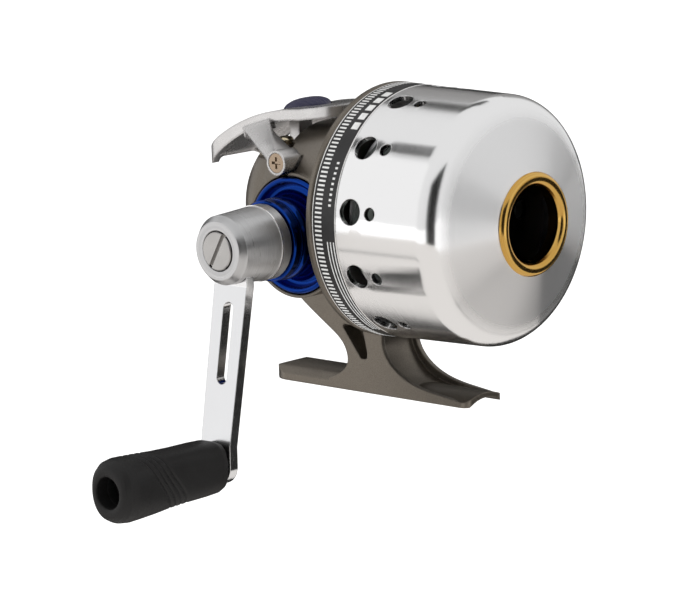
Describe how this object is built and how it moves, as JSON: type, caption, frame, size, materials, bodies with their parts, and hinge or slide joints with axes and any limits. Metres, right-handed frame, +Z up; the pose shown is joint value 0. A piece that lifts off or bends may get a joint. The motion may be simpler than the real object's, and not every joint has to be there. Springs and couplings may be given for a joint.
{
  "type": "spincast fishing reel",
  "caption": "Closed-face casting reel with a round metal nose cover, side crank, drag dial, rear thumb lever and a rod foot.",
  "frame": {"origin": "centre of the foot's seat, on the plane where the foot meets the rod", "axes": "+X towards the nose where the line leaves, +Z up away from the rod, crank on the -Y side"},
  "size_m": [0.0937, 0.1108, 0.0897],
  "materials": {
    "housing_paint": "satin warm grey",
    "deck": "bead-blasted",
    "plain_screw": "zinc plated",
    "bearing_steel": "ground",
    "bronze_bush": "plain",
    "spool_metal": "turned",
    "rotor_dark": "black anodised",
    "screw_nickel": "nickel plated",
    "line": "clear nylon line",
    "spring_steel": "plain",
    "seal_rubber": "matte",
    "cover_metal": "polished and brushed round",
    "band": "satin black with light marks",
    "guide_ring": "polished gold",
    "shaft_steel": "ground",
    "gear_brass": "machined",
    "fibre": "pressed fibre",
    "dial_blue": "glossy blue anodised",
    "hub_silver": "satin brushed",
    "trim": "polished",
    "arm_polished": "polished",
    "grip_core": "moulded",
    "grip_rubber": "matte soft-touch",
    "lever_silver": "satin pearl silver",
    "pad": "dark blue ridged",
    "lever_screw": "nickel plated",
    "stop_screw": "plated"
  },
  "bodies": {
    "frame": {"body_housing": "housing_paint", "deck_plate": "deck", "deck_screws": "plain_screw", "pinion_bearing_outer": "bearing_steel", "pinion_bearing_balls": "bearing_steel", "front_bushing": "bronze_bush", "spool": "spool_metal", "wound_line": "line", "spool_clip": "spring_steel", "cover_seal": "seal_rubber", "far_bushing": "bronze_bush", "crank_bearing_outer": "bearing_steel", "crank_bearing_balls": "bearing_steel", "lever_pivot_screws": "lever_screw", "lever_stop_screw": "stop_screw", "pawl_pin": "shaft_steel"},
    "cover": {"nose_cover": "cover_metal", "cover_band": "band", "line_guide_ring": "guide_ring", "snubber_ring": "seal_rubber"},
    "crank": {"crank_shaft": "shaft_steel", "drive_gear": "gear_brass", "drag_fibre_washers": "fibre", "drag_steel_washer": "spring_steel", "drag_pressure_plate": "spring_steel", "drag_spring_washers": "spring_steel", "ratchet_wheel": "shaft_steel", "shaft_clip": "spring_steel", "crank_bearing_inner": "bearing_steel", "hub_sleeve": "hub_silver", "hub_trim_ring": "trim", "crank_hub": "hub_silver", "crank_arm": "arm_polished", "crank_screw": "screw_nickel", "grip_spindle": "shaft_steel", "grip_washer": "plain_screw"},
    "dial": {"drag_dial": "dial_blue"},
    "grip": {"grip_core": "grip_core", "grip_cover": "grip_rubber"},
    "pinion": {"pinion_gear": "gear_brass", "pinion_bearing_inner": "bearing_steel"},
    "shaft": {"centre_shaft": "shaft_steel", "shaft_collar": "shaft_steel", "shaft_return_spring": "spring_steel", "spinner_head": "rotor_dark", "spinner_nut": "rotor_dark"},
    "pickup": {"pickup_pin": "shaft_steel"},
    "lever": {"thumb_lever": "lever_silver", "thumb_pad": "pad"},
    "pawl": {"anti_reverse_pawl": "spring_steel"}
  },
  "joints": [
    {"name": "crank_turn", "type": "hinge", "parent": "frame", "child": "crank", "pos_m": [-0.0085, 0, 0.03815], "axis": [0, 1, 0], "continuous": true},
    {"name": "pinion_turn", "type": "hinge", "parent": "frame", "child": "pinion", "pos_m": [0, 0, 0.0428], "axis": [1, 0, 0], "continuous": true},
    {"name": "thumb_lever", "type": "hinge", "parent": "frame", "child": "lever", "pos_m": [-0.0118, 0, 0.0548], "axis": [0, -1, 0], "range_deg": [0, 10], "stiffness_Nm_per_rad": 0.5, "springref_deg": -8.59},
    {"name": "shaft_slide", "type": "slide", "parent": "pinion", "child": "shaft", "axis": [1, 0, 0], "range_m": [0, 0.0024], "deforming": ["shaft_return_spring"]},
    {"name": "pickup_pin_slide", "type": "slide", "parent": "shaft", "child": "pickup", "axis": [0, 0, 1], "range_m": [-0.0022, 0]},
    {"name": "dial_turn", "type": "hinge", "parent": "crank", "child": "dial", "pos_m": [-0.0085, 0, 0.03815], "axis": [0, 1, 0], "range_deg": [-180, 180]},
    {"name": "grip_spin", "type": "hinge", "parent": "crank", "child": "grip", "pos_m": [-0.0085, 0, -0.0102], "axis": [0, 1, 0], "continuous": true},
    {"name": "cover_off", "type": "slide", "parent": "frame", "child": "cover", "axis": [1, 0, 0], "range_m": [0, 0.035]},
    {"name": "pawl_lift", "type": "hinge", "parent": "frame", "child": "pawl", "pos_m": [-0.0211, 0.0037, 0.04415], "axis": [0, 1, 0], "range_deg": [0, 8], "stiffness_Nm_per_rad": 0.01, "springref_deg": -11.46}
  ],
  "couplings": [
    {"joint": "pinion_turn", "follows": "crank_turn", "ratio": 4.1111},
    {"joint": "shaft_slide", "follows": "thumb_lever", "m_per_rad": 0.0127},
    {"joint": "pickup_pin_slide", "follows": "thumb_lever", "m_per_rad": -0.0122}
  ]
}
